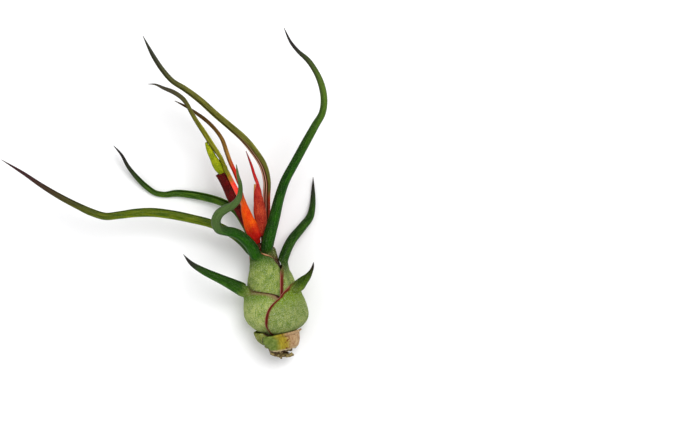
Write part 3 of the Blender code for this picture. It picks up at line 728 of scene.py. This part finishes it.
class Paint:
    """A material that is being made, and the nodes that it is made of."""

    def __init__(self, name):
        self.material = bpy.data.materials.new(name)
        self.material.use_nodes = True
        self.tree = self.material.node_tree
        self.shader = self.tree.nodes["Principled BSDF"]

    def node(self, kind, sockets, output=0, **settings):
        """Any node: its settings first, then the numbers, colours or flows of its sockets."""
        made = self.tree.nodes.new("ShaderNode" + kind)
        for setting, value in settings.items():
            setattr(made, setting, value)
        for socket, value in sockets.items():
            self.feed(made.inputs[socket], value)
        return Flow(self, made.outputs[output])

    def feed(self, socket, value):
        """Links a flow to a socket, or sets the socket to a number or a colour."""
        if isinstance(value, Flow):
            self.tree.links.new(value.socket, socket)
        elif isinstance(value, tuple) and len(socket.default_value) == 4:
            socket.default_value = (*value, 1.0)
        else:
            socket.default_value = value

    def maths(self, operation, a, b=0.0):
        """A Math node. b has no part in operations on one number."""
        return self.node("Math", {0: a, 1: b}, operation=operation)

    def mix(self, share, a, b):
        """Colour a where share is 0, and b where it is 1. Sockets 6 and 7 are the colours."""
        return self.node("Mix", {0: share, 6: a, 7: b}, output=2, data_type="RGBA")

    def step(self, value, start, end):
        """0 before start and 1 after end, softly. It falls where end is less than start."""
        sockets = {0: value, 1: start, 2: end, 3: 0.0, 4: 1.0}
        return self.node("MapRange", sockets, interpolation_type="SMOOTHSTEP")

    def attribute(self, name):
        """The three numbers of a named attribute."""
        vector = self.node("Attribute", {}, output=1, attribute_name=name)
        return [self.node("SeparateXYZ", {0: vector}, output=i) for i in range(3)]

    def over_leaf(self, place, per_mm):
        """Where to read a pattern with this many changes per millimetre across and along the leaf."""
        arc, along, seed = place
        return self.node("CombineXYZ", {0: arc * per_mm[0], 1: along * per_mm[1], 2: seed})

    def noise(self, vector, scale=1.0, detail=2.0, rough=0.5):
        """A smooth cloudy pattern that swings round 0.5."""
        sockets = {"Vector": vector, "Scale": scale, "Detail": detail, "Roughness": rough}
        return self.node("TexNoise", sockets)

    def finish(self, colour, roughness, relief, depth_mm, specular=0.5):
        """Joins colour, roughness and relief to the shader, and gives back the material."""
        self.feed(self.shader.inputs["Base Color"], colour)
        self.feed(self.shader.inputs["Roughness"], roughness)
        bump = self.node("Bump", {"Height": relief, "Strength": 1.0, "Distance": depth_mm * MM})
        self.feed(self.shader.inputs["Normal"], bump)
        self.shader.inputs["Specular IOR Level"].default_value = specular
        return self.material


def rgb(red, green, blue):
    """A colour as a picture editor shows it, from 0 to 255, as the shader wants it."""
    values = (np.array((red, green, blue)) / 255.0 + 0.055) / 1.055
    return tuple(float(value) for value in values**2.4)


def darker(share, colour):
    """A colour with only this share of its light."""
    return tuple(share * value for value in colour)


# %% [markdown]
# ## Living leaf tissue
#
# The sheaths look grey-green because they are covered in tiny silvery scales that drink water from the air.
# Blades have fewer scales, so they are deep green, and their tips turn purple-black. The margins are maroon
# with a pale, dry rim. All of this follows the leaf: fine nerves run along it, and every change is a soft
# step over the distance from the root, the tip or the margin, made a little uneven with noise.

# %% The paint of a leaf
SILVER = rgb(196, 204, 172)
LEAF_SPECULAR = 0.05
LEAF_RELIEF_MM = 0.12
SHEATH_ROUGHNESS = 0.66
SOFT_END = 3.0
NERVES_PER_MM = (3.2, 0.18)
MOTTLE_PER_MM = (0.5, 0.36)
FLECKS_PER_MM = (3.4, 2.3)
SCALES_PER_MM = (3.9, 3.1)
GROOVE_TO_TIP = (45.0, 75.0)
OUTLINE_EDGE = (0.9, 0.5)
GROOVE_EDGE = (0.34, 0.18)


def leaf_paint(
    name, pale, deep, blade, stripe, tip, tip_mm, margin, rim, margin_mm, rim_mm=0.22, silver=0.8, flushes_and_highlights=(),
    gloss=0.4, root_mm=(-6.0, 3.0), groove=None, outline=None, haze=None, haze_mm=2.6, margin_end=(6.0, 0.0),
    foot=None,
):
    """A leaf's material, where lengths in millimetres say how far from the margin, root or tip a step is.

    A flush is a colour over a stretch, measured from the blade's root, and how soft its ends are. The
    hook's lighter band over its bend is a painted highlight. The margins' colours fade over margin_end,
    and the sheath turns into the blade over root_mm.
    """
    paint = Paint(name)
    arc, along, _ = place = paint.attribute("place_mm")
    edge, rise, to_tip = paint.attribute("spot_mm")
    nerves = paint.noise(paint.over_leaf(place, NERVES_PER_MM), detail=3.0)
    mottle = paint.noise(paint.over_leaf(place, MOTTLE_PER_MM), detail=5.0, rough=0.66)
    flecks = paint.noise(paint.over_leaf(place, FLECKS_PER_MM), detail=3.0, rough=0.72)
    scale_place = paint.over_leaf(place, SCALES_PER_MM)
    scales = paint.node("TexVoronoi", {"Vector": scale_place, "Scale": 1.0, "Randomness": 0.95})
    wander = mottle * 5.0 - 2.5

    # The sheath and the blade, each in two tones
    uneven = mottle * 0.34 + flecks * 0.44 + nerves * 0.22
    sheath = paint.mix(paint.step(uneven, 0.42, 0.58), deep, pale)
    green = paint.mix(paint.step(nerves, 0.36, 0.68), blade, stripe)
    in_blade = paint.step(rise + wander, *root_mm)
    colour = paint.mix(in_blade, sheath, green)
    # Colour bands along the leaf: flushes of its own colour, and a painted highlight over the hook's bend
    for band_colour, start, end, *soft in flushes_and_highlights:
        soft = soft[0] if soft else SOFT_END
        there = paint.step(rise + wander, start - soft, start + soft)
        there = there * paint.step(rise + wander, end + soft, end - soft)
        shaded = paint.mix(paint.step(nerves, 0.3, 0.7), darker(0.7, band_colour), band_colour)
        colour = paint.mix(there, colour, shaded)

    # Painted shade on the sides of the rolled blade, and pits and silvery scales on the sheath
    from_back = paint.maths("ABSOLUTE", arc)
    painted_side_shade = paint.step(edge / (edge + from_back + 0.01), 0.72, 0.40)
    colour = paint.mix(painted_side_shade * in_blade * 0.55, colour, darker(0.25, blade))
    pits = paint.step(flecks, 0.46, 0.34) * (1.0 - in_blade) * 0.4
    colour = paint.mix(pits, colour, darker(0.55, deep))
    dots = paint.step(scales, 0.46, 0.14) * paint.step(flecks, 0.30, 0.56) * silver * (1.0 - in_blade * 0.85)
    colour = paint.mix(dots, colour, SILVER)

    # Foot, tip and margins
    if foot:
        at_foot = paint.step(along + mottle * 6.0 - 3.0, 3.2, 0.6)
        colour = paint.mix(at_foot * 0.75, colour, foot)
    sheath_side = paint.step(rise, *margin_end)
    colour = paint.mix(paint.step(to_tip + wander, tip_mm, tip_mm * 0.15), colour, tip)
    if haze:
        in_haze = paint.step(edge + mottle * 1.6 - 0.8, haze_mm, haze_mm * 0.25)
        colour = paint.mix(in_haze * sheath_side * 0.7, colour, haze)
    near_margin = paint.step(edge + mottle * 0.8 - 0.4, margin_mm, margin_mm * 0.45) * sheath_side
    colour = paint.mix(near_margin, colour, margin)
    at_rim = paint.step(edge + nerves * 0.16 - 0.08, rim_mm + 0.1, rim_mm - 0.08)
    colour = paint.mix(at_rim * sheath_side * 0.9, colour, rim)
    if groove:
        low = paint.step(to_tip, *GROOVE_TO_TIP) * in_blade
        colour = paint.mix(paint.step(edge, *OUTLINE_EDGE) * low, colour, outline)
        colour = paint.mix(paint.step(edge, *GROOVE_EDGE) * low, colour, groove)

    roughness = SHEATH_ROUGHNESS - in_blade * (SHEATH_ROUGHNESS - gloss) + dots * 0.15
    relief = nerves * 0.55 + dots * 0.5 + flecks * 0.45 + mottle * 0.3
    return paint.finish(colour, roughness, relief, LEAF_RELIEF_MM, LEAF_SPECULAR)


# %% Colours of the leaves
LEAF_FINISH = {
    "pale": rgb(149, 162, 83), "deep": rgb(82, 110, 30), "blade": rgb(17, 56, 0),
    "stripe": rgb(42, 89, 5), "tip": rgb(40, 36, 34), "tip_mm": 26, "margin": rgb(92, 20, 16),
    "rim": rgb(170, 110, 92), "margin_mm": 1.6,
}
LEAF_FINISHES = {
    "leaf_tall_olive": {
        "blade": rgb(94, 95, 23), "stripe": rgb(150, 146, 58), "tip": rgb(58, 60, 48), "tip_mm": 34,
        "flushes_and_highlights": [(rgb(214, 28, 24), -20, 22)],
        "groove": rgb(206, 150, 128), "outline": rgb(58, 26, 12),
    },
    "leaf_left": {"blade": rgb(46, 88, 11), "stripe": rgb(102, 142, 24), "tip_mm": 28},
    "leaf_tall_right": {
        "blade": rgb(13, 55, 0), "stripe": rgb(39, 90, 0), "tip_mm": 34,
        "flushes_and_highlights": [(rgb(76, 28, 14), -30, -2), (rgb(98, 126, 38), 62, 130, 26)],
    },
    "leaf_long_left": {
        "blade": rgb(72, 100, 3), "stripe": rgb(132, 145, 16), "tip": rgb(58, 34, 34), "tip_mm": 58,
        "flushes_and_highlights": [(rgb(44, 78, 4), -20, 10)],
    },
    "leaf_hook": {
        "blade": rgb(17, 64, 0), "stripe": rgb(40, 94, 0), "tip": rgb(84, 98, 56), "tip_mm": 12,
        # The first, lighter band over the hook's bend is a painted highlight; the second is the leaf's darker
        # green beyond it
        "flushes_and_highlights": [(rgb(76, 102, 50), 24, 50, 6), (rgb(56, 86, 30), 50, 90, 6)],
        "margin": rgb(128, 72, 44), "margin_mm": 0.7, "rim": rgb(190, 140, 104),
    },
    "leaf_right": {
        "blade": rgb(19, 56, 0), "stripe": rgb(46, 84, 6), "tip_mm": 14,
        "margin_mm": 1.8, "rim_mm": 0.24, "margin_end": (1, -4),
    },
    "leaf_low_left": {
        "pale": rgb(172, 181, 105), "deep": rgb(96, 123, 40), "blade": rgb(28, 71, 2),
        "stripe": rgb(56, 105, 10), "tip_mm": 13, "flushes_and_highlights": [(rgb(104, 134, 36), -2.5, 3, 2)],
        # Its near-black rim is partly its own dark edge and partly painted shadow, the dark line where it
        # lies over the old sheath below
        "margin": rgb(58, 16, 14), "margin_mm": 1.5, "rim": rgb(46, 14, 12), "rim_mm": 0.55,
        "haze": rgb(140, 96, 84), "haze_mm": 4.6, "root_mm": (-3, 5), "margin_end": (3, -2),
    },
    "leaf_low_right": {
        "pale": rgb(144, 154, 86), "deep": rgb(80, 107, 32), "blade": rgb(39, 68, 1),
        "stripe": rgb(78, 107, 8), "tip": rgb(36, 28, 22), "tip_mm": 8, "margin_mm": 1.8, "rim_mm": 0.24,
        "root_mm": (-3, 6), "margin_end": (5, -1), "foot": rgb(150, 130, 62),
        "flushes_and_highlights": [(rgb(112, 138, 30), -4, 3)],
    },
    "old_sheath_left": {
        "pale": rgb(136, 141, 55), "deep": rgb(82, 93, 21), "margin": rgb(56, 40, 20),
        "rim": rgb(40, 26, 16),
    },
}
paints = {}
for name, colours in LEAF_FINISHES.items():
    paints[name] = leaf_paint(name + "_tissue", **{**LEAF_FINISH, **colours})
print("leaf paints:", len(paints))

# %% [markdown]
# ## Bracts
#
# The flower head's leaves, the bracts, carry the colour that calls hummingbirds: coral and orange, with a
# dark maroon and a yellow-green one. They are thin, smooth and finely ribbed, so they share the leaf's paint
# with other colours, fewer scales and a little more gloss.

# %% Colours of the bracts
BRACT_FINISH = {
    **LEAF_FINISH,
    "pale": rgb(230, 66, 40), "deep": rgb(200, 30, 20), "margin": rgb(176, 30, 20),
    "rim": rgb(224, 150, 120), "margin_mm": 0.4, "rim_mm": 0.16, "silver": 0.06, "gloss": 0.36,
    "tip_mm": 30,
}
BRACT_FINISHES = {
    "spike_left_green_bract": {
        "pale": rgb(162, 166, 16), "deep": rgb(96, 118, 0), "margin": rgb(150, 158, 40),
        "rim": rgb(186, 190, 90),
    },
    "spike_left_dark_bract": {
        "pale": rgb(100, 4, 8), "deep": rgb(51, 0, 0), "margin": rgb(110, 16, 14),
        "rim": rgb(206, 150, 110), "rim_mm": 0.3,
    },
    "bract_left": {
        "blade": rgb(112, 112, 10), "stripe": rgb(176, 172, 46), "tip": rgb(62, 58, 44), "tip_mm": 36,
        "pale": rgb(255, 82, 67), "deep": rgb(250, 46, 35), "root_mm": (-9, -3),
        "margin_end": (-8, -14),
    },
    "bract_middle": {
        "pale": rgb(230, 97, 9), "deep": rgb(217, 47, 6), "blade": rgb(120, 84, 26),
        "stripe": rgb(176, 130, 62), "tip": rgb(70, 50, 22), "tip_mm": 34, "margin": rgb(200, 36, 14),
        "flushes_and_highlights": [(rgb(188, 21, 13), -40, -13), (rgb(214, 44, 30), -1, 13)],
    },
    "spike_right_bract": {
        "pale": rgb(204, 170, 62), "deep": rgb(180, 90, 36), "margin": rgb(208, 178, 80),
    },
    "bract_right": {
        "pale": rgb(196, 76, 44), "deep": rgb(140, 18, 20), "blade": rgb(176, 20, 28),
        "stripe": rgb(204, 56, 50), "tip": rgb(120, 20, 24), "tip_mm": 8,
    },
}
for name, colours in BRACT_FINISHES.items():
    paints[name] = leaf_paint(name + "_tissue", **{**BRACT_FINISH, **colours})
print("bract paints:", len(BRACT_FINISHES))

# %% [markdown]
# ## Dead and woody tissue
#
# At the foot, old leaves have dried to papery tan rests with dark torn rims, and a few short roots stick out.
# Dead tissue has no scales or gloss. Its colour is broken up by noise at two sizes, and dark at the margins.

# %% The paint of dry tissue
DRY_SPECULAR = 0.2
OBJECT_PLACE = 3


def dry_paint(name, light, dark, rim, rim_share=0.60):
    """Dead tissue in two tones, with spots of the rim's colour where the fine noise is above rim_share."""
    paint = Paint(name)
    place = paint.node("TexCoord", {}, output=OBJECT_PLACE)
    in_mm = paint.node("VectorMath", {0: place, 3: 1.0 / MM}, operation="SCALE")
    coarse = paint.noise(in_mm, scale=0.55, detail=4.0, rough=0.65)
    fine = paint.noise(in_mm, scale=2.6, detail=3.0)
    colour = paint.mix(paint.step(coarse * 0.7 + fine * 0.3, 0.38, 0.60), dark, light)
    colour = paint.mix(paint.step(fine, rim_share, rim_share + 0.1), colour, rim)
    return paint.finish(colour, 0.9 - fine * 0.2, coarse + fine, 0.35, DRY_SPECULAR)


def torn_sheath_paint(name):
    """The oldest sheath, across from left to right: green, then a yellow scar with brown spots, then papery.

    Its torn lower edge is bleached and then black.
    """
    paint = Paint(name)
    arc, along, _ = place = paint.attribute("place_mm")
    edge = paint.attribute("spot_mm")[0]
    nerves = paint.noise(paint.over_leaf(place, (1.6, 0.5)), detail=4.0)
    mottle = paint.noise(paint.over_leaf(place, (0.7, 0.8)), detail=5.0, rough=0.65)
    wander = mottle * 3.0 - 1.5
    green = paint.mix(paint.step(mottle, 0.30, 0.70), rgb(74, 98, 16), rgb(128, 144, 66))
    fibres = paint.step(nerves * 0.5 + mottle * 0.5, 0.36, 0.60)
    papery = paint.mix(fibres, rgb(136, 94, 58), rgb(196, 166, 124))
    yellow = paint.mix(paint.step(nerves, 0.3, 0.7), rgb(140, 118, 10), rgb(176, 152, 36))
    colour = paint.mix(paint.step(arc + wander, 3.6, 1.0), green, papery)
    in_scar = paint.step(arc + wander * 0.6, 7.0, 4.0) * paint.step(arc + wander, 0.4, 2.8)
    colour = paint.mix(in_scar * 0.85, colour, yellow)
    spotted = paint.step(mottle * 0.6 + nerves * 0.4, 0.50, 0.60)
    spotted = spotted * paint.step(arc, 4.2, 2.6) * paint.step(arc, -2.0, 0.6)
    colour = paint.mix(spotted, colour, rgb(104, 50, 16))
    colour = paint.mix(paint.step(along + wander * 0.5, 1.7, 0.7), colour, rgb(198, 178, 138))
    colour = paint.mix(paint.step(along + wander * 0.4, 0.85, 0.35), colour, rgb(32, 20, 12))
    colour = paint.mix(paint.step(edge + wander * 0.2, 0.55, 0.25), colour, rgb(34, 24, 14))
    return paint.finish(colour, 0.8 - nerves * 0.15, nerves + mottle, 0.3, DRY_SPECULAR)


woody = dry_paint("woody_stem", rgb(120, 60, 36), rgb(66, 24, 16), rgb(44, 18, 12))
root_tissue = dry_paint("root_tissue", rgb(176, 158, 100), rgb(88, 66, 36), rgb(30, 20, 12), 0.52)
papery = dry_paint("dry_sheath_tissue", rgb(186, 162, 112), rgb(74, 50, 28), rgb(22, 14, 8), 0.5)
paints["dry_sheath"] = papery
paints["old_sheath_front"] = torn_sheath_paint("old_sheath_front_tissue")
print("dry paints:", woody.name, root_tissue.name)

# %% [markdown]
# ## From the inside out
#
# A layer is laid over what the maps hold, so the order matters. The stalks are counted in first, as round
# tubes. Then come the bracts on their stalks, and then the leaves from the inner ones to the outer ones.

# %% Count the stalks in
TUBE_TURNS = 25


def route_rows(route):
    """A stalk's or root's table as smooth rows of real place and radius."""
    rows, _ = smooth_rows([(*from_picture(*row[:3]), row[3]) for row in route])
    return rows


def count_tube(route, *maps):
    """Counts a round stalk into these maps."""
    rows = route_rows(route)
    turns = np.linspace(0, math.tau, TUBE_TURNS)[None, :, None]
    for girth in maps:
        offset = np.cos(turns) * girth.right + np.sin(turns) * girth.front
        girth.add(rows[:, None, :3] + rows[:, None, 3:4] * offset, 0.0)


count_tube(STEM, bulb, spikes["left"])
count_tube(SIDE_STALK, bulb, spikes["right"])

# %% Dress the leaves and bracts
BRACT_COLUMNS = 25
SHEATH_COLUMNS = 61
BLADE_COLUMNS = 37
for name, leaf in FLOWER_LEAVES.items():
    add_leaf(name, leaf, spikes[leaf["axis"]], (bulb,), paints[name], BRACT_COLUMNS)
for name, leaf in LEAVES.items():
    columns = SHEATH_COLUMNS if "points" in leaf or "blade" not in leaf else BLADE_COLUMNS
    piece = add_leaf(name, leaf, bulb, (), paints[name], columns)
    print(name, len(piece.data.polygons), "faces")

# %% Roots
ROOT_COLUMNS = 17
ROOT_LUMP_SIZE = 0.9
ROOT_LUMP = 0.5
ROOT_SEED_STEP = 3.1


def root_points(route, seed):
    """The rings of a tube along this route, uneven as if it grew."""
    rows = route_rows(route)
    tangent = np.gradient(rows[:, :3], axis=0)
    turns = np.linspace(0, math.tau, ROOT_COLUMNS)
    side = unit(np.cross(tangent[0], UP))
    rings = np.empty((len(rows), ROOT_COLUMNS, 3))
    for i, row in enumerate(rows):
        ahead = unit(tangent[i])
        side = unit(side - (side @ ahead) * ahead)
        ring = np.cos(turns)[:, None] * side + np.sin(turns)[:, None] * np.cross(ahead, side)
        rings[i] = row[:3] + row[3] * ring
    centre = rows[:, None, :3]
    return centre + (rings - centre) * (1 + unevenness(rings, ROOT_LUMP_SIZE, ROOT_LUMP, seed))[..., None]


def add_roots(name, routes, material, node):
    """Tubes that grow out of each other, as one piece with closed ends."""
    joined = bmesh.new()
    for number, route in enumerate(routes):
        tube = sheet_mesh(name, root_points(route, number * ROOT_SEED_STEP), closed=True)
        joined.from_mesh(tube)
        bpy.data.meshes.remove(tube)
    ends = [edge for edge in joined.edges if edge.is_boundary]
    bmesh.ops.holes_fill(joined, edges=ends)
    bmesh.ops.recalc_face_normals(joined, faces=joined.faces)
    return add_piece(name, finished_mesh(name, joined), material, node)


add_roots("roots_fine", [CROWN, *ROOTS], root_tissue, "roots")

# %% The stem keeps its own solid and gets a woody skin
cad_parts["stem"].data.materials.clear()
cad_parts["stem"].data.materials.append(woody)

# %% [markdown]
# ## Studio
#
# The picture is high key: a white table and white light from everywhere, with only faint shadows where the
# plant touches. A bright world does most of it, one wide lamp gives the leaves a soft highlight, and a weak
# one on the other side fills the shadows.

# %% A white table
TABLE_HALF_WIDTH = 3.0
GRAIN_SCALE = 40.0


def white_table():
    """Plain white with a faint grain."""
    paint = Paint("table")
    place = paint.node("TexCoord", {}, output=OBJECT_PLACE)
    grain = paint.noise(place, scale=GRAIN_SCALE)
    colour = paint.mix(grain, rgb(250, 250, 251), rgb(247, 247, 248))
    return paint.finish(colour, 0.8, grain, 0.01)


table = bmesh.new()
bmesh.ops.create_grid(table, x_segments=1, y_segments=1, size=TABLE_HALF_WIDTH)
floor = add_object("table", finished_mesh("table", table))
floor.data.materials.append(white_table())

# %% Light from everywhere and two lamps
WORLD_STRENGTH = 0.57
# Each lamp's place, aim and size in metres, and its power in watts
LAMPS = {
    "wide_lamp": ((0.22, 0.28, 0.9), (-0.02, 0.04, 0.0), 0.5, 6.0),
    "fill_lamp": ((-0.5, -0.2, 0.7), (0.0, 0.03, 0.0), 0.6, 1.2),
}

world = bpy.data.worlds.new("white_tent")
bpy.context.scene.world = world
world.use_nodes = True
background = world.node_tree.nodes["Background"]
background.inputs["Color"].default_value = (1.0, 1.0, 1.0, 1.0)
background.inputs["Strength"].default_value = WORLD_STRENGTH


def add_lamp(name, place, aim, size, power):
    """A round lamp at this place that shines at its aim."""
    lamp = bpy.data.lights.new(name, "AREA")
    lamp.shape = "DISK"
    lamp.size = size
    lamp.energy = power
    made = add_object(name, lamp)
    made.location = place
    made.rotation_mode = "QUATERNION"
    made.rotation_quaternion = (Vector(aim) - Vector(place)).to_track_quat("-Z", "Y")


for name, (place, aim, size, power) in LAMPS.items():
    add_lamp(name, place, aim, size, power)

# %% The lens, straight above the middle of the picture
SENSOR_WIDTH = 36.0

lens = bpy.data.cameras.new("lens")
lens.sensor_width = SENSOR_WIDTH
lens.lens = SENSOR_WIDTH * LENS_HEIGHT / (PICTURE_WIDTH * MM_PER_PIXEL)
lens.clip_end = 20.0
camera = add_object("lens", lens)
camera.location = (from_picture(*PICTURE_MIDDLE, 0.0) + LENS_HEIGHT * UP) * MM
bpy.context.scene.camera = camera
bpy.context.scene.view_settings.view_transform = "Standard"
bpy.context.scene.view_settings.look = "None"
